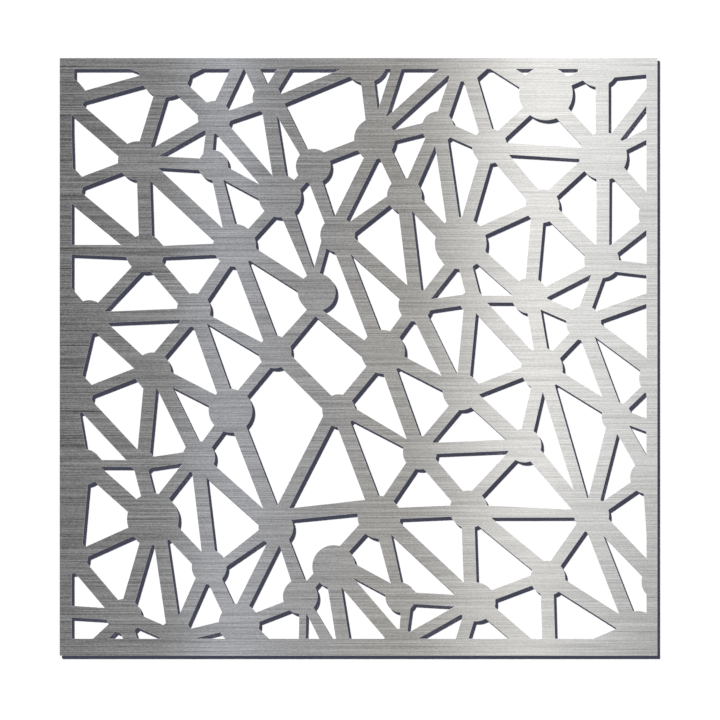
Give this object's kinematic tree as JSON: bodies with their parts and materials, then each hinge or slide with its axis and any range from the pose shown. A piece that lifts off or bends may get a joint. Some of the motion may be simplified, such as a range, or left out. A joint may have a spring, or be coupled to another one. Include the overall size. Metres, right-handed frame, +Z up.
{
  "type": "laser cut metal screen",
  "caption": "Square metal panel cut into a network of round hubs and straight struts in a thin border, held off a wall by concealed rear studs and spacers.",
  "frame": {"origin": "middle of the stud pattern on the wall's face, where the isolating washers bear", "axes": "+X across the screen to the right as seen from the front, +Y into the wall, +Z up; the face looks towards -Y"},
  "size_m": [0.6, 0.027, 0.6],
  "materials": {
    "brushed_sheet": "long horizontal brushed grain, satin",
    "stud_steel": "rolled thread, bright",
    "spacer_metal": "turned, satin",
    "washer_rubber": "matt moulded"
  },
  "bodies": {
    "root": {"screen_sheet": "brushed_sheet", "weld_studs": "stud_steel", "spacer_sleeves": "spacer_metal", "isolating_washers": "washer_rubber"}
  },
  "joints": []
}
